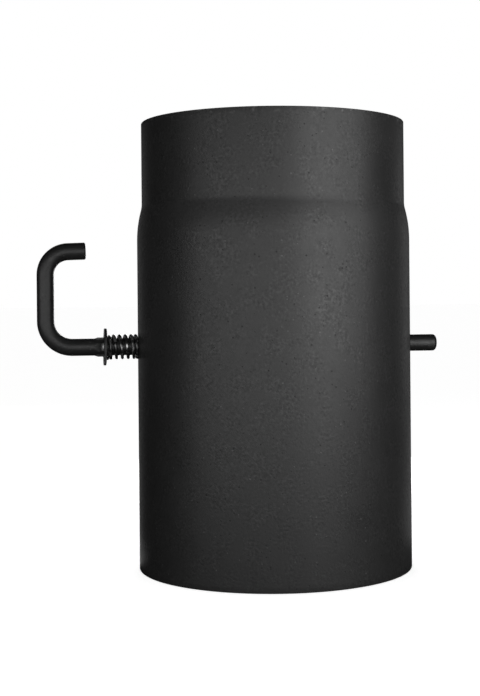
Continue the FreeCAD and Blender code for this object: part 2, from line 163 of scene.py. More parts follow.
# Bolts, plain washers and nuts of the damper plate
BOLT_SPACING = 80 * MM
BOLTS = [DISC_CENTRE - BOLT_SPACING / 2, DISC_CENTRE + BOLT_SPACING / 2]
BOLT_RADIUS = 2.5 * MM
BOLT_HOLE = 2.7 * MM
BOLT_END = 0.6 * MM
BOLT_SIDES = 72
HEAD_SEAT = -FLAT_PLANE
HEX_APOTHEM = 4 * MM
HEX_FACE = 0.95 * HEX_APOTHEM
HEX_CHAMFER = math.radians(30)
SPOT_HALF = 5.5 * MM
PLAIN_RADIUS = (plain_high.z - plain_low.z) / 2
PLAIN_SIDES = 64
THREAD_PITCH = 0.8 * MM
THREAD_DEPTH = 0.3 * MM
THREAD_START = 1 * MM
THREAD_RINGS = 96
NUT_BORE = BOLT_RADIUS + 0.05 * MM
NUT_SINK = 0.35 * MM

# Finishes: the range that a noise mostly keeps to, where a round spot starts to fade, and the least spot
NOISE_LOW = 0.3
NOISE_HIGH = 0.7
SPOT_CORE = 0.55
SPOT_LEAST = 1e-4

# Places of the colour sockets on a mix node
MIX_FIRST = 6
MIX_SECOND = 7
MIX_RESULT = 2

# The photograph's frame and view, with the point that lies straight ahead in its pixels
FRAME_WIDTH = 480
FRAME_HEIGHT = 696
FOCAL_PIXELS = 1330.8
AHEAD_X = 273.67
AHEAD_Y = 301.1
CAMERA_DISTANCE = 756.7 * MM
CAMERA_HEIGHT = 149.7 * MM
CAMERA_AZIMUTH = math.radians(-9.5)
CAMERA_ROLL = math.radians(-0.5)

# Floor and lights
FLOOR_HALF = 40.0
FLOOR_LEVEL = -0.2 * MM
FLOOR_GLOW = 0.7
CARD_LEVEL = 1 * MM
SKY_ANGLE = math.radians(100)
MOUTH_GAP = 4 * MM


def ease(low, high, value):
    share = min(1, max(0, (value - low) / (high - low)))
    return share * share * (3 - 2 * share)


def steps(first, last, count):
    return [first + (last - first) * i / count for i in range(count + 1)]


# Mesh helpers

def ring_faces(rings, size, closed=False):
    # Quads between neighbouring rings of points, each with the same number of points
    faces = []
    for j in range(rings if closed else rings - 1):
        low = j * size
        high = (j + 1) % rings * size
        for i in range(size):
            after = (i + 1) % size
            faces.append((low + i, low + after, high + after, high + i))
    return faces


def hoop(rings):
    # Closed skin over rings that come back to the first one
    points = [point for ring in rings for point in ring]
    return points, ring_faces(len(rings), len(rings[0]), closed=True)


def skin(rings):
    # Closed skin over a row of rings, with a fan of triangles over each end
    size = len(rings[0])
    points = [point for ring in rings for point in ring]
    faces = ring_faces(len(rings), size)
    for ring, start in ((rings[0], 0), (rings[-1], (len(rings) - 1) * size)):
        centre = len(points)
        points.append(sum(ring, Vector()) / size)
        faces += [(start + i, start + (i + 1) % size, centre) for i in range(size)]
    return points, faces


def plate(outlines, levels, place):
    # Flat plate: outlines(inset) gives the outer loop and the holes, levels are pairs of height and inset,
    # and place turns a point of a loop and a height into a point of the part
    points = []
    starts = []
    for height, inset in levels:
        starts.append(len(points))
        for loop in outlines(inset):
            points += [place(point, height) for point in loop]
    faces = []
    for low, high in zip(starts, starts[1:]):
        offset = 0
        for loop in outlines(0):
            size = len(loop)
            for i in range(size):
                here = offset + i
                after = offset + (i + 1) % size
                faces.append((low + here, low + after, high + after, high + here))
            offset += size
    flat_loops = [[point.to_3d() for point in loop] for loop in outlines(0)]
    for triangle in tessellate_polygon(flat_loops):
        for start in (starts[0], starts[-1]):
            faces.append(tuple(start + corner for corner in triangle))
    return points, faces


def arc(centre, radius, first, last, count):
    return [
        Vector((centre[0] + radius * math.cos(angle), centre[1] + radius * math.sin(angle)))
        for angle in steps(first, last, count)
    ]


def circle(radius, sides, centre=(0, 0)):
    return arc(centre, radius, 0, 2 * math.pi, sides)[:-1]


def new_object(name, points, faces):
    mesh = bpy.data.meshes.new(name)
    mesh.from_pydata(points, [], faces)
    shape = bmesh.new()
    shape.from_mesh(mesh)
    bmesh.ops.recalc_face_normals(shape, faces=shape.faces)
    shape.to_mesh(mesh)
    shape.free()
    piece = bpy.data.objects.new(name, mesh)
    bpy.context.scene.collection.objects.link(piece)
    return piece


def settle(piece, body, material, node=None, sharp_degrees=40):
    # Gives a piece its finish, its smooth shading and its place in the part
    piece.data.materials.append(material)
    piece.data.polygons.foreach_set("use_smooth", [True] * len(piece.data.polygons))
    piece.data.set_sharp_from_angle(angle=math.radians(sharp_degrees))
    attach(piece, body)
    if node:
        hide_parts(node)
    return piece


def hole_cutter(direction, centre, radius, length):
    # Round bar, turned by half a side so that none of its edges meets an edge of the piece it cuts
    turn = Vector(direction).to_track_quat("Z", "Y")
    first = math.pi / CUTTER_SIDES
    outline = arc((0, 0), radius, first, first + 2 * math.pi, CUTTER_SIDES)[:-1]
    rings = []
    for along in (-length / 2, length / 2):
        rings.append([centre + turn @ Vector((*point, along)) for point in outline])
    return new_object("hole_cutter", *skin(rings))


def drill(piece, *cutters):
    for cutter in cutters:
        cut = piece.modifiers.new("hole", "BOOLEAN")
        cut.operation = "DIFFERENCE"
        cut.solver = "EXACT"
        cut.object = cutter
    state = bpy.context.evaluated_depsgraph_get()
    drilled = bpy.data.meshes.new_from_object(piece.evaluated_get(state))
    piece.modifiers.clear()
    piece.data = drilled
    for cutter in cutters:
        bpy.data.objects.remove(cutter)


# Finishes

class Finish:
    """Node tree of one material, with patterns measured in metres on the part."""

    def __init__(self, name, metallic=0.0):
        self.material = bpy.data.materials.new(name)
        self.material.use_nodes = True
        self.tree = self.material.node_tree
        self.shader = self.tree.nodes["Principled BSDF"]
        self.shader.inputs["Metallic"].default_value = metallic
        self.place = self.add("ShaderNodeTexCoord").outputs["Object"]

    def feed(self, socket, value):
        if isinstance(value, bpy.types.NodeSocket):
            self.tree.links.new(value, socket)
        else:
            socket.default_value = value

    def add(self, kind, **sockets):
        node = self.tree.nodes.new(kind)
        for name, value in sockets.items():
            self.feed(node.inputs[name], value)
        return node

    def noise(self, size, detail, roughness=0.5):
        return self.add(
            "ShaderNodeTexNoise", Vector=self.place, Scale=1 / size, Detail=detail, Roughness=roughness
        ).outputs["Fac"]

    def band(self, value, low, high, bottom=0.0, top=1.0):
        # Eases from bottom to top while the value goes from low to high
        node = self.add("ShaderNodeMapRange", Value=value)
        node.interpolation_type = "SMOOTHSTEP"
        for name, number in (("From Min", low), ("From Max", high), ("To Min", bottom), ("To Max", top)):
            node.inputs[name].default_value = number
        return node.outputs["Result"]

    def spread(self, noise, bottom=0.0, top=1.0):
        return self.band(noise, NOISE_LOW, NOISE_HIGH, bottom, top)

    def math(self, operation, first, second=0.0):
        node = self.tree.nodes.new("ShaderNodeMath")
        node.operation = operation
        self.feed(node.inputs[0], first)
        self.feed(node.inputs[1], second)
        return node.outputs["Value"]

    def times(self, first, second):
        return self.math("MULTIPLY", first, second)

    def plus(self, first, second):
        return self.math("ADD", first, second)

    def minus(self, first, second):
        return self.math("SUBTRACT", first, second)

    def axis(self, name):
        return self.add("ShaderNodeSeparateXYZ", Vector=self.place).outputs[name]

    def spots(self, spacing, radius, share):
        # Scattered round spots: about share of the cells hold one, of a size that varies up to radius
        cells = self.add("ShaderNodeTexVoronoi", Vector=self.place, Scale=1 / spacing)
        chance = self.add("ShaderNodeSeparateColor", Color=cells.outputs["Color"])
        size = self.band(chance.outputs["Red"], 1 - share, 1, 0.0, radius / spacing)
        reach = self.math("DIVIDE", cells.outputs["Distance"], self.math("MAXIMUM", size, SPOT_LEAST))
        return self.band(reach, SPOT_CORE, 1.0, 1.0, 0.0)

    def blend(self, share, first, second):
        node = self.tree.nodes.new("ShaderNodeMix")
        node.data_type = "RGBA"
        self.feed(node.inputs["Factor"], share)
        self.feed(node.inputs[MIX_FIRST], first)
        self.feed(node.inputs[MIX_SECOND], second)
        return node.outputs[MIX_RESULT]

    def bump(self, height, depth, below=None):
        node = self.add("ShaderNodeBump", Height=height, Distance=depth)
        if below:
            self.feed(node.inputs["Normal"], below)
        return node.outputs["Normal"]

    def set(self, colour, roughness, normal):
        self.feed(self.shader.inputs["Base Color"], colour)
        self.feed(self.shader.inputs["Roughness"], roughness)
        self.feed(self.shader.inputs["Normal"], normal)
        return self.material


def grey(level, warmth=0.0):
    return (level * (1 + warmth), level, level * (1 - warmth), 1.0)


def rim_scuffs(paint):
    # Faint scuffs along the upper rim
    strength = 0.16
    near_rim = paint.band(paint.axis("Z"), PIPE_LENGTH - 4 * MM, PIPE_LENGTH - 1.5 * MM, 0.0, strength)
    return paint.times(near_rim, paint.band(paint.noise(4 * MM, detail=3), 0.56, 0.68))


def crimp_wear(paint):
    # Metal that shows at the crimp: a bright lip next to the washer and rubbed tops of the ears
    ear_strength = 0.25
    along = paint.axis("X")
    rise = paint.math("ABSOLUTE", paint.minus(paint.axis("Z"), ROD_HEIGHT))
    lip = paint.band(along, CRIMP_RIGHT - 1.3 * DENT_LIP, CRIMP_RIGHT - 0.8 * DENT_LIP)
    lip = paint.times(lip, paint.band(rise, 1.2 * MM, DENT_HALF, 1.0, 0.0))
    ears = paint.band(rise, ROD_RADIUS - 0.3 * MM, ROD_RADIUS + 0.1 * MM, 0.0, ear_strength)
    on_crimp = paint.band(along, CRIMP_LEFT, CRIMP_LEFT + EAR_SLOPE)
    ends = paint.band(along, CRIMP_RIGHT, CRIMP_RIGHT + 0.2 * MM, 1.0, 0.0)
    worn = paint.math("MAXIMUM", lip, paint.times(ears, on_crimp))
    return paint.times(worn, ends)


def make_stove_paint(name, wear):
    # Heat-proof matte black spray paint: orange peel and grit, crowds of dull and bright flecks,
    # single pits and dots; the pits also carry painted shade, a darker colour besides their dent
    paint = Finish(name)
    clouds = paint.noise(28 * MM, detail=3)
    mottle = paint.noise(4.5 * MM, detail=2)
    peel = paint.noise(1.7 * MM, detail=2)
    grit = paint.noise(0.45 * MM, detail=3, roughness=0.6)
    crowd = paint.spread(paint.noise(11 * MM, detail=1), 0.4, 1.6)
    flecks = paint.times(paint.minus(paint.noise(1.4 * MM, detail=1), 0.5), crowd)
    pits_with_painted_shade = paint.spots(spacing=2.2 * MM, radius=0.6 * MM, share=0.35)
    dots = paint.spots(spacing=2.8 * MM, radius=0.6 * MM, share=0.3)
    worn = wear(paint)

    base = paint.blend(paint.spread(clouds), grey(0.018), grey(0.022))
    base = paint.blend(paint.band(grit, 0.35, 0.7), base, grey(0.024))
    base = paint.blend(paint.band(flecks, -0.3, 0.0, 0.45, 0.0), base, grey(0.004))
    base = paint.blend(paint.band(flecks, 0.0, 0.3, 0.0, 0.45), base, grey(0.045))
    # Pits darkened in colour: painted shade in the pits, on top of their real dent and duller sheen
    base = paint.blend(paint.times(pits_with_painted_shade, 0.8), base, grey(0.003))
    base = paint.blend(paint.times(dots, 0.6), base, grey(0.08))
    base = paint.blend(worn, base, grey(0.4))

    shine = paint.plus(paint.spread(mottle, 0.39, 0.43), paint.spread(clouds, 0.0, 0.03))
    shine = paint.minus(shine, paint.times(flecks, 0.2))
    shine = paint.plus(shine, paint.times(pits_with_painted_shade, 0.2))
    shine = paint.minus(shine, paint.times(worn, 0.1))
    paint.feed(paint.shader.inputs["Metallic"], worn)

    relief = paint.bump(peel, depth=0.03 * MM)
    relief = paint.bump(grit, depth=0.012 * MM, below=relief)
    relief = paint.bump(flecks, depth=0.055 * MM, below=relief)
    relief = paint.bump(paint.minus(dots, pits_with_painted_shade), depth=0.03 * MM, below=relief)
    return paint.set(base, shine, relief)


def make_bare_steel():
    # Hot-rolled sheet with its dark scale and small rubbed spots
    steel = Finish("bare_steel", metallic=0.85)
    clouds = steel.noise(22 * MM, detail=5, roughness=0.6)
    grain = steel.noise(0.6 * MM, detail=3)
    rubbed = steel.spots(spacing=6 * MM, radius=1.6 * MM, share=0.25)
    base = steel.blend(steel.spread(clouds), grey(0.11, -0.03), grey(0.2, 0.02))
    base = steel.blend(steel.times(rubbed, 0.35), base, grey(0.32))
    base = steel.blend(steel.band(grain, 0.4, 0.75, 0.0, 0.5), base, grey(0.08))
    shine = steel.band(clouds, 0.25, 0.75, 0.5, 0.38)
    return steel.set(base, shine, steel.bump(grain, depth=0.02 * MM))


def make_spring_black():
    # Spring steel with an oily black skin, rubbed bright in places
    coat = Finish("spring_black")
    coat.shader.inputs["IOR"].default_value = 1.8
    clouds = coat.noise(3 * MM, detail=3)
    grit = coat.noise(0.35 * MM, detail=2)
    rubbed = coat.band(coat.noise(3.1 * MM, detail=1), 0.5, 0.66)
    base = coat.blend(coat.spread(clouds), grey(0.008), grey(0.016))
    base = coat.blend(rubbed, base, grey(0.5))
    coat.feed(coat.shader.inputs["Metallic"], rubbed)
    shine = coat.spread(clouds, 0.24, 0.34)
    return coat.set(base, shine, coat.bump(grit, depth=0.012 * MM))


def make_washer_black():
    # Blackened washer: dull, with rubbed spots
    coat = Finish("washer_black")
    clouds = coat.noise(2.5 * MM, detail=3)
    grit = coat.noise(0.4 * MM, detail=2)
    rubbed = coat.spots(spacing=2.6 * MM, radius=0.35 * MM, share=0.3)
    base = coat.blend(coat.spread(clouds), grey(0.02), grey(0.03))
    base = coat.blend(rubbed, base, grey(0.07))
    shine = coat.spread(clouds, 0.46, 0.54)
    return coat.set(base, shine, coat.bump(grit, depth=0.015 * MM))


def make_zinc():
    # Bright zinc plating with a faint mottle
    zinc = Finish("zinc_plate", metallic=1.0)
    clouds = zinc.noise(1.8 * MM, detail=4)
    grit = zinc.noise(0.2 * MM, detail=2)
    base = zinc.blend(zinc.spread(clouds), grey(0.5, -0.02), grey(0.64, 0.01))
    shine = zinc.spread(clouds, 0.28, 0.42)
    return zinc.set(base, shine, zinc.bump(grit, depth=0.008 * MM))


# Pipe

def outer_profile():
    # Outside of the wall from the lower rim to the upper one, as pairs of radius and height
    drop = WALL_RADIUS - SPIGOT_RADIUS
    radii = (SHOULDER_LENGTH ** 2 + drop ** 2) / (2 * drop)
    swell = radii - CREASE_RADIUS
    lean = math.atan2(SHOULDER_LENGTH, radii - drop)
    neck_foot = PIPE_LENGTH - SPIGOT_LENGTH
    shoulder_foot = neck_foot - SHOULDER_LENGTH

    profile = [(WALL_RADIUS, height) for height in steps(RIM_ROUND, shoulder_foot, WALL_ROWS)]
    for angle in steps(0, lean, SWELL_ROWS)[1:]:
        radius = WALL_RADIUS - swell * (1 - math.cos(angle))
        profile.append((radius, shoulder_foot + swell * math.sin(angle)))
    for angle in steps(lean, 0, CREASE_ROWS)[1:]:
        radius = SPIGOT_RADIUS + CREASE_RADIUS * (1 - math.cos(angle))
        profile.append((radius, neck_foot - CREASE_RADIUS * math.sin(angle)))
    for height in steps(neck_foot, PIPE_LENGTH - RIM_ROUND, SPIGOT_ROWS)[1:]:
        profile.append((SPIGOT_RADIUS, height))
    return profile


def outward(profile, distance):
    # The same profile, moved along its own normals
    moved = []
    for j, (radius, height) in enumerate(profile):
        below = Vector(profile[max(j - 1, 0)])
        above = Vector(profile[min(j + 1, len(profile) - 1)])
        run = (above - below).normalized()
        moved.append((radius + distance * run.y, height - distance * run.x))
    return moved


def rim_profile(radius, height, up):
    # Rounded rim from the outer wall to the inner one, up is 1 at the top and -1 at the bottom
    edge = []
    for angle in steps(0, math.pi / 2, RIM_ROWS)[1:]:
        inset = RIM_ROUND * (1 - math.cos(angle))
        edge.append((radius - inset, height - up * RIM_ROUND * (1 - math.sin(angle))))
    return edge + [(2 * radius - WALL - r, h) for r, h in reversed(edge)]


def make_pipe(paint, steel):
    outside = outer_profile()
    inside = outward(outside, -WALL)
    top = rim_profile(SPIGOT_RADIUS, PIPE_LENGTH, 1)
    bottom = rim_profile(WALL_RADIUS, 0, -1)
    rings = []
    for radius, height in outside + top + inside[::-1] + bottom[::-1]:
        rings.append([Vector((*point, height)) for point in circle(radius, PIPE_COLUMNS)])
    piece = new_object("pipe_shell", *hoop(rings))
    drill(piece, hole_cutter((1, 0, 0), Vector((0, 0, ROD_HEIGHT)), ROD_HOLE, 4 * WALL_RADIUS))
    settle(piece, "pipe", paint, "pipe_body")

    piece.data.materials.append(steel)
    for face in piece.data.polygons:
        faces_axis = face.normal.xy.dot(face.center.xy) < 0
        on_rim = not RIM_ROUND < face.center.z < PIPE_LENGTH - RIM_ROUND
        face.material_index = 1 if faces_axis and not on_rim else 0
    return piece


def finer(profile, step):
    # The same profile with points at most one step apart
    points = [profile[0]]
    for here, after in zip(profile, profile[1:]):
        count = max(1, math.ceil((Vector(after) - Vector(here)).length / step))
        points += [tuple(Vector(here).lerp(Vector(after), i / count)) for i in range(1, count + 1)]
    return points


def bead_rise(offset, height):
    # How far the bead stands out of the wall, with ripples that bow across it
    share = 2 * offset / BEAD_WIDTH
    ripple = math.cos(2 * math.pi * (height / RIPPLE_SPACING + RIPPLE_BOW * share * share))
    return BEAD_HEIGHT * (1 - share * share) * (1 - RIPPLE_SHARE + RIPPLE_SHARE * ripple)


def make_bead(name, profile, side, material):
    # Rippled weld bead along the back: side is 1 outside the wall and -1 inside
    path = finer(profile, BEAD_STEP)
    crown = outward(path, side)
    across = steps(-BEAD_WIDTH / 2, BEAD_WIDTH / 2, BEAD_COLUMNS)
    rings = []
    for j, (radius, height) in enumerate(path):
        normal = Vector(crown[j]) - Vector(path[j])
        section = [(offset, bead_rise(offset, height)) for offset in across]
        section += [(BEAD_WIDTH / 2, -BEAD_ROOT), (-BEAD_WIDTH / 2, -BEAD_ROOT)]
        ring = []
        for offset, rise in section:
            reach = radius + normal.x * rise
            turn = offset / radius
            ring.append(Vector((reach * math.sin(turn), reach * math.cos(turn), height + normal.y * rise)))
        rings.append(ring)
    return settle(new_object(name, *skin(rings)), "pipe", material, sharp_degrees=60)


# Rod and handle

def crimp(x, side, up):
    # Chisel marks in front and behind, ears above and below, beside the washer
    wall = CRIMP_RIGHT - DENT_LIP
    depth = DENT_DEPTH * min(1, max(0, (x - CRIMP_LEFT) / (wall - CRIMP_LEFT)))
    depth *= 1 - ease(wall, wall + DENT_STEP, x)
    depth *= 1 - ease(DENT_FADE_START, DENT_FADE_END, abs(up))
    side = math.copysign(min(abs(side), ROD_RADIUS - depth), side)
    level = ROD_RADIUS + EAR_HEIGHT * ease(CRIMP_LEFT, CRIMP_LEFT + EAR_SLOPE, x)
    level += EAR_FILLET * ease(CRIMP_RIGHT - EAR_FILLET_LENGTH, CRIMP_RIGHT, x)
    if abs(side) < EAR_HALF and abs(up) > EAR_HALF:
        up = math.copysign(max(abs(up), level), up)
    return side, up


def shaft_section(x, side, up):
    # One point of the shaft's section at x: side is along Y and up along Z from the rod's axis
    if CRIMP_LEFT < x < CRIMP_RIGHT:
        return crimp(x, side, up)
    if abs(x - DISC_CENTRE) < FLAT_HALF:
        side = min(side, FLAT_PLANE)
    if any(abs(x - bolt) < SPOT_HALF for bolt in BOLTS):
        side = max(side, -FLAT_PLANE)
    return side, up


def ring_angles():
    # Even angles round the rod, with one more at each edge of a flat
    edge = math.acos(FLAT_PLANE / ROD_RADIUS)
    angles = [2 * math.pi * i / ROD_SIDES for i in range(ROD_SIDES)]
    return sorted(angles + [edge, math.pi - edge, math.pi + edge, 2 * math.pi - edge])


def shaft_places():
    # Where the shaft has rings of points, from the tail to the handle's first bend: one lies just before
    # and one just after each step of its section
    steep = [CRIMP_LEFT, CRIMP_RIGHT, DISC_CENTRE - FLAT_HALF, DISC_CENTRE + FLAT_HALF]
    for bolt in BOLTS:
        steep += [bolt - SPOT_HALF, bolt + SPOT_HALF]
    places = steps(ROD_TAIL - TAIL_END_ROUND, HANDLE_BAR + LOWER_BEND, SHAFT_RINGS)[1:-1]
    places += steps(CRIMP_LEFT, CRIMP_RIGHT, CRIMP_RINGS)
    places = [x for x in places if all(abs(x - edge) > 2 * HAIR for edge in steep)]
    for edge in steep:
        places += [edge - HAIR, edge + HAIR]
    return sorted(places, reverse=True)


def rod_ring(centre, way, radius=ROD_RADIUS, on_shaft=False):
    inner_side = Vector((way.z, 0, -way.x))
    ring = []
    for angle in ring_angles():
        side = radius * math.cos(angle)
        up = radius * math.sin(angle)
        if on_shaft:
            side, up = shaft_section(centre.x, side, up)
        ring.append(centre + Vector((0, side, 0)) + inner_side * up)
    return ring


def rod_end(end, way, sign, rounding):
    # Rings over the rounded edge of a sawn end, from its face to the full rod
    rings = []
    for angle in steps(0, math.pi / 2, END_RINGS):
        back = rounding * (1 - math.cos(angle))
        radius = ROD_RADIUS - rounding * (1 - math.sin(angle))
        rings.append(rod_ring(end - way * sign * back, way, radius))
    return rings


def bend(centre, radius, first, last):
    # Rings round a bend, by the angle from the bend's centre
    rings = []
    for angle in steps(first, last, BEND_RINGS):
        point = centre + radius * Vector((math.cos(angle), 0, math.sin(angle)))
        rings.append(rod_ring(point, Vector((math.sin(angle), 0, -math.cos(angle)))))
    return rings


def make_rod(paint):
    leftward = Vector((-1, 0, 0))
    arm_way = Vector((math.cos(ARM_ANGLE), 0, math.sin(ARM_ANGLE)))
    turn_end = UPPER_BEND * (1 - math.sin(ARM_ANGLE))
    arm_foot = HANDLE_TOP - (ARM_LENGTH - turn_end) * math.tan(ARM_ANGLE)
    low_centre = Vector((HANDLE_BAR + LOWER_BEND, 0, ROD_HEIGHT + LOWER_BEND))
    high_centre = Vector((HANDLE_BAR + UPPER_BEND, 0, arm_foot - UPPER_BEND * math.cos(ARM_ANGLE)))

    rings = rod_end(Vector((ROD_TAIL, 0, ROD_HEIGHT)), leftward, -1, TAIL_END_ROUND)
    rings += [rod_ring(Vector((x, 0, ROD_HEIGHT)), leftward, on_shaft=True) for x in shaft_places()]
    rings += bend(low_centre, LOWER_BEND, 1.5 * math.pi, math.pi)
    rings += bend(high_centre, UPPER_BEND, math.pi, math.pi / 2 + ARM_ANGLE)
    rings += rod_end(Vector((HANDLE_BAR + ARM_LENGTH, 0, HANDLE_TOP)), arm_way, 1, ARM_END_ROUND)[::-1]
    piece = new_object("handle_rod", *skin(rings))
    depth = 6 * ROD_RADIUS
    drill(piece, *[hole_cutter((0, 1, 0), Vector((x, 0, ROD_HEIGHT)), BOLT_HOLE, depth) for x in BOLTS])
    return settle(piece, "shaft", paint, "handle_shaft")


# Spring and washer

def coil_place(turns):
    # Distance along the rod of the wire's centre after that many turns, counted from the washer
    start = spring_low.x + WIRE_RADIUS / 2
    length = spring_high.x - spring_low.x - WIRE_RADIUS
    pitch = (length - 2 * CLOSED_PITCH) / ACTIVE_TURNS
    active = min(ACTIVE_TURNS, max(0, turns - 1))
    return start + CLOSED_PITCH * (turns - active) + pitch * active


def make_spring(coat):
    # Closed-end coil whose first turn sags on the rod and whose ends are ground flat
    total = ACTIVE_TURNS + 2
    rings = []
    for turns in steps(-WIRE_TAIL, total + WIRE_TAIL, WIRE_RINGS_PER_TURN * total):
        angle = 2 * math.pi * turns
        radial = Vector((0, math.sin(angle), -math.cos(angle)))
        sag = END_COIL_SAG * (1 - ease(SAG_FULL_TURN, SAG_LAST_TURN, turns))
        centre = Vector((coil_place(turns), 0, ROD_HEIGHT - sag)) + radial * COIL_RADIUS
        ring = []
        for point in circle(WIRE_RADIUS, WIRE_SIDES):
            place = centre + radial * point.x + Vector((point.y, 0, 0))
            place.x = min(spring_high.x, max(spring_low.x, place.x))
            ring.append(place)
        rings.append(ring)
    piece = new_object("spring_wire", *skin(rings))
    settle(piece, "pipe", coat, "spring", sharp_degrees=50)

    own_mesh(piece)


def make_washer(coat):
    level = (washer_high.x - washer_low.x) / 2 - WASHER_SPARE - WASHER_ROUND
    outer = WASHER_RADIUS - WASHER_ROUND
    inner = WASHER_BORE + WASHER_ROUND
    section = []
    for number, corner in enumerate([(outer, level), (inner, level), (inner, -level), (outer, -level)]):
        first = number * math.pi / 2
        section += arc(corner, WASHER_ROUND, first, first + math.pi / 2, WASHER_EDGE_STEPS)
    tilt = Matrix.Rotation(WASHER_TILT, 3, "Y")
    centre = Vector(((washer_low.x + washer_high.x) / 2, 0, ROD_HEIGHT))
    rings = []
    for angle in steps(0, 2 * math.pi, WASHER_SIDES)[:-1]:
        around = Vector((0, math.cos(angle), math.sin(angle)))
        rings.append([centre + tilt @ (around * point.x + Vector((point.y, 0, 0))) for point in section])
    piece = new_object("washer_plate", *hoop(rings))
    return settle(piece, "washer", coat, "spring_washer", sharp_degrees=50)


# Damper plate and its bolts

def disc_outlines(inset):
    height = RELIEF_LINE - RELIEF_CORNER
    reach = math.sqrt((DISC_RADIUS - RELIEF_CORNER) ** 2 - height ** 2)
    tangent = math.atan2(height, reach)
    corner = RELIEF_CORNER - inset
    outline = arc((reach, height), corner, tangent, math.pi / 2, RELIEF_STEPS)
    outline += arc((-reach, height), corner, math.pi / 2, math.pi - tangent, RELIEF_STEPS)
    outline += arc((0, 0), DISC_RADIUS - inset, math.pi - tangent, 2 * math.pi + tangent, DISC_SIDES)[1:-1]
    places = (-BOLT_SPACING / 2, BOLT_SPACING / 2)
    return [outline] + [circle(BOLT_HOLE + inset, DISC_HOLE_SIDES, (x, 0)) for x in places]


def plain_outlines(inset):
    return [circle(PLAIN_RADIUS - inset, PLAIN_SIDES), circle(BOLT_HOLE + inset, PLAIN_SIDES)]


def edge_levels(low, high):
    return [(low, PLATE_EDGE), (low + PLATE_EDGE, 0), (high - PLATE_EDGE, 0), (high, PLATE_EDGE)]


def on_plate(x):
    # Turns a point of a flat outline round x, and a height along Y, into a point of the part
    return lambda point, height: Vector((x + point.x, height, ROD_HEIGHT + point.y))


def make_disc(steel):
    shape = plate(disc_outlines, edge_levels(disc_low.y, disc_high.y), on_plate(DISC_CENTRE))
    piece = new_object("damper_plate", *shape)
    return settle(piece, "shaft", steel, "damper_disc", sharp_degrees=30)


def hex_radius(angle):
    # From a hexagon's axis to its side, with flats on the left and right
    sixth = math.pi / 3
    return HEX_APOTHEM / math.cos((angle + sixth / 2) % sixth - sixth / 2)


def corner_drop(angle):
    # How far the turned chamfer cuts a hexagon's corner down
    return max(0, hex_radius(angle) - HEX_FACE) * math.tan(HEX_CHAMFER)


def around_bolt(x, radius, height):
    # Ring round a bolt's axis, radius and height are numbers or follow the angle
    ring = []
    for angle in steps(0, 2 * math.pi, BOLT_SIDES)[:-1]:
        reach = radius(angle) if callable(radius) else radius
        along = height(angle) if callable(height) else height
        ring.append(Vector((x + reach * math.cos(angle), along, ROD_HEIGHT + reach * math.sin(angle))))
    return ring


def thread_radius(height):
    def radius(angle):
        wave = (height / THREAD_PITCH + angle / (2 * math.pi)) % 1
        return BOLT_RADIUS - THREAD_DEPTH * abs(2 * wave - 1)
    return radius


def make_bolt(name, x, zinc):
    thread = steps(FLAT_PLANE - THREAD_START, bolt_high.y - BOLT_END, THREAD_RINGS)
    rings = [
        around_bolt(x, HEX_FACE, bolt_low.y),
        around_bolt(x, hex_radius, lambda angle: bolt_low.y + corner_drop(angle)),
        around_bolt(x, hex_radius, HEAD_SEAT),
        around_bolt(x, BOLT_RADIUS, HEAD_SEAT),
        around_bolt(x, BOLT_RADIUS, thread[0] - THREAD_DEPTH),
    ]
    rings += [around_bolt(x, thread_radius(height), height) for height in thread]
    rings.append(around_bolt(x, BOLT_RADIUS - BOLT_END, bolt_high.y))
    piece = new_object(name, *skin(rings))
    return settle(piece, "shaft", zinc, "disc_bolts", sharp_degrees=30)


def make_nut(name, x, zinc):
    low = nut_low.y
    high = nut_high.y
    rings = [
        around_bolt(x, HEX_FACE, low),
        around_bolt(x, hex_radius, lambda angle: low + corner_drop(angle)),
        around_bolt(x, hex_radius, lambda angle: high - corner_drop(angle)),
        around_bolt(x, HEX_FACE, high),
        around_bolt(x, NUT_BORE + NUT_SINK, high),
        around_bolt(x, NUT_BORE, high - NUT_SINK),
        around_bolt(x, NUT_BORE, low + NUT_SINK),
        around_bolt(x, NUT_BORE + NUT_SINK, low),
    ]
    piece = new_object(name, *hoop(rings))
    return settle(piece, "shaft", zinc, "disc_nuts", sharp_degrees=30)


def make_plain_washer(name, x, zinc):
    shape = plate(plain_outlines, edge_levels(plain_low.y, plain_high.y), on_plate(x))
    piece = new_object(name, *shape)
    return settle(piece, "shaft", zinc, "disc_washers", sharp_degrees=30)


# Stage

def add_floor():
    # Pale floor that glows a little, so that it stays white to the horizon, and throws no light on the part
    sides = ((-1, -1), (1, -1), (1, 1), (-1, 1))
    corners = [(x * FLOOR_HALF, y * FLOOR_HALF, FLOOR_LEVEL) for x, y in sides]
    floor = new_object("floor", corners, [(0, 1, 2, 3)])
    pale = Finish("pale_floor")
    pale.shader.inputs["Roughness"].default_value = 0.9
    pale.shader.inputs["Specular IOR Level"].default_value = 0.0
    pale.shader.inputs["Base Color"].default_value = grey(0.9)
    pale.shader.inputs["Emission Color"].default_value = grey(1.0)
    pale.shader.inputs["Emission Strength"].default_value = FLOOR_GLOW
    floor.data.materials.append(pale.material)
    floor.visible_diffuse = False
    floor.visible_glossy = False
    return floor


def add_world():
    # White behind the part, which lights nothing
    world = bpy.data.worlds.new("white_room")
    bpy.context.scene.world = world
    world.use_nodes = True
    world.node_tree.nodes["Background"].inputs["Color"].default_value = grey(1.0)
    world.cycles_visibility.diffuse = False
    world.cycles_visibility.glossy = False


def add_light(name, kind, power, pieces=None):
    # Light that falls on these pieces alone, or on everything where none are given
    light = bpy.data.lights.new(name, kind)
    light.energy = power
    lamp = bpy.data.objects.new(name, light)
    lamp.visible_camera = False
    bpy.context.scene.collection.objects.link(lamp)
    if pieces:
        group = bpy.data.collections.new(name + "_pieces")
        for piece in pieces:
            group.objects.link(piece)
        lamp.light_linking.receiver_collection = group
    return lamp


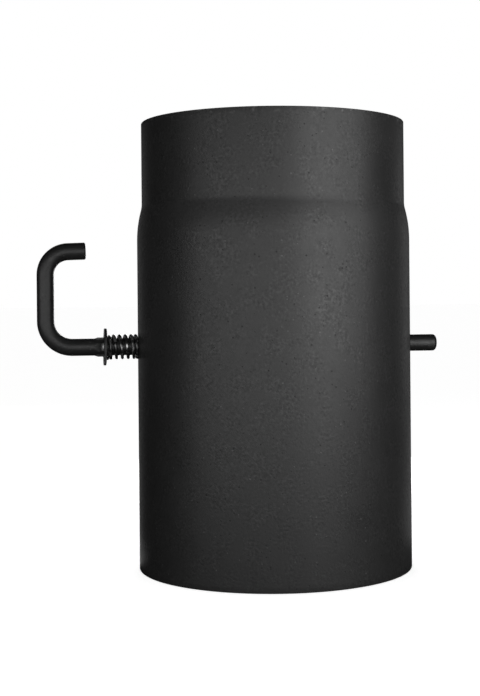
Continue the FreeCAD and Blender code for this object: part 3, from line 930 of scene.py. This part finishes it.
def add_softbox(name, pieces=None, *, azimuth, distance, height, width, tall, power):
    # Upright soft light: azimuth is counted from the camera's side of the part, positive to the right
    angle = CAMERA_AZIMUTH + math.radians(azimuth)
    lamp = add_light(name, "AREA", power, pieces)
    lamp.data.shape = "RECTANGLE"
    lamp.data.size = width
    lamp.data.size_y = tall
    lamp.location = (distance * math.sin(angle), -distance * math.cos(angle), height)
    lamp.rotation_euler = (Vector((0, 0, ROD_HEIGHT)) - lamp.location).to_track_quat("-Z", "Y").to_euler()


def add_floor_card(name, pieces, *, aside, behind, turn, width, length, power):
    # Soft oval light that lies on the floor like a patch of a white table: aside and behind are seen
    # from the camera's side of the part
    lamp = add_light(name, "AREA", power, pieces)
    lamp.data.shape = "ELLIPSE"
    lamp.data.size = width
    lamp.data.size_y = length
    lamp.location = Matrix.Rotation(CAMERA_AZIMUTH, 3, "Z") @ Vector((aside, behind, CARD_LEVEL))
    lamp.rotation_euler = (math.pi, 0, CAMERA_AZIMUTH + math.radians(turn))


def light_all():
    # Long soft light in front, and weaker ones round the part
    add_softbox("front_softbox", azimuth=-6.5, distance=0.52, height=0.16, width=1.88, tall=0.32, power=2.6)
    add_softbox("left_fill", azimuth=-60, distance=1.3, height=0.3, width=0.4, tall=0.5, power=0.11)
    add_softbox("left_panel", azimuth=-150, distance=1.2, height=0.2, width=0.5, tall=0.4, power=0.12)
    add_softbox("right_panel", azimuth=140, distance=1.2, height=0.2, width=0.5, tall=0.4, power=0.2)
    add_softbox("back_softbox", azimuth=180, distance=0.5, height=0.17, width=0.24, tall=0.34, power=1.2)


def light_pipe(wall, inside, floor):
    # Sky from above, a soft light on the right, and patches of the table along the lower side edges
    sky = add_light("soft_sky", "SUN", 1.0, wall + inside + [floor])
    sky.data.angle = SKY_ANGLE
    add_softbox(
        "right_softbox", wall, azimuth=50, distance=0.49, height=0.26, width=0.54, tall=0.4, power=1.32)
    add_floor_card(
        "left_card", wall, aside=-0.325, behind=0.546, turn=26, width=0.14, length=1.1, power=0.095)
    add_floor_card(
        "left_foot_card", wall, aside=-0.0963, behind=0.044, turn=16, width=0.035, length=0.1, power=0.0042)
    add_floor_card(
        "right_card", wall, aside=0.31, behind=0.56, turn=-20, width=0.26, length=1.1, power=0.19)


def light_rod(rod, washer):
    # Soft lights on the tail, on the handle from behind and under the washer
    add_softbox(
        "tail_card", [rod], azimuth=47, distance=0.24, height=0.13, width=0.12, tall=0.26, power=0.16)
    add_softbox(
        "handle_panel", [rod, washer],
        azimuth=-165, distance=0.7, height=0.18, width=0.25, tall=0.3, power=0.6)
    add_floor_card(
        "washer_card", [washer], aside=-0.1, behind=-0.15, turn=0, width=0.2, length=0.4, power=0.12)


def light_flue():
    # Round light in the pipe's mouth that shines down, with a gap to the rim and the wall
    glow = add_light("flue_glow", "AREA", 0.08)
    glow.data.shape = "DISK"
    glow.data.size = 2 * (SPIGOT_RADIUS - WALL) - 2 * MOUTH_GAP
    glow.location = (0, 0, PIPE_LENGTH - MOUTH_GAP)


def add_camera():
    camera = bpy.data.cameras.new("camera")
    camera.lens = camera.sensor_width * FOCAL_PIXELS / FRAME_HEIGHT
    camera.shift_x = (FRAME_WIDTH / 2 - AHEAD_X) / FRAME_HEIGHT
    camera.shift_y = (AHEAD_Y - FRAME_HEIGHT / 2) / FRAME_HEIGHT
    holder = bpy.data.objects.new("camera", camera)
    bpy.context.scene.collection.objects.link(holder)
    turn = Matrix.Rotation(CAMERA_AZIMUTH, 4, "Z")
    away = Matrix.Translation((0, -CAMERA_DISTANCE, CAMERA_HEIGHT))
    upright = Matrix.Rotation(math.pi / 2, 4, "X") @ Matrix.Rotation(CAMERA_ROLL, 4, "Z")
    holder.matrix_world = turn @ away @ upright
    bpy.context.scene.camera = holder


steel = make_bare_steel()
zinc = make_zinc()
pipe_paint = make_stove_paint("pipe_paint", rim_scuffs)
rod_paint = make_stove_paint("rod_paint", crimp_wear)

outside_profile = outer_profile()
wall = [
    make_pipe(pipe_paint, steel),
    make_bead("weld_outside", outside_profile, 1, pipe_paint),
]
inside = [
    make_bead("weld_inside", outward(outside_profile, -WALL), -1, steel),
    make_disc(steel),
]
rod = make_rod(rod_paint)
make_spring(make_spring_black())
washer = make_washer(make_washer_black())
for number, bolt in enumerate(BOLTS, start=1):
    inside.append(make_bolt(f"plate_bolt_{number}", bolt, zinc))
    inside.append(make_plain_washer(f"plate_washer_{number}", bolt, zinc))
    inside.append(make_nut(f"plate_nut_{number}", bolt, zinc))

add_world()
light_pipe(wall, inside, add_floor())
light_rod(rod, washer)
light_all()
light_flue()
add_camera()
bpy.context.scene.view_settings.view_transform = "Standard"
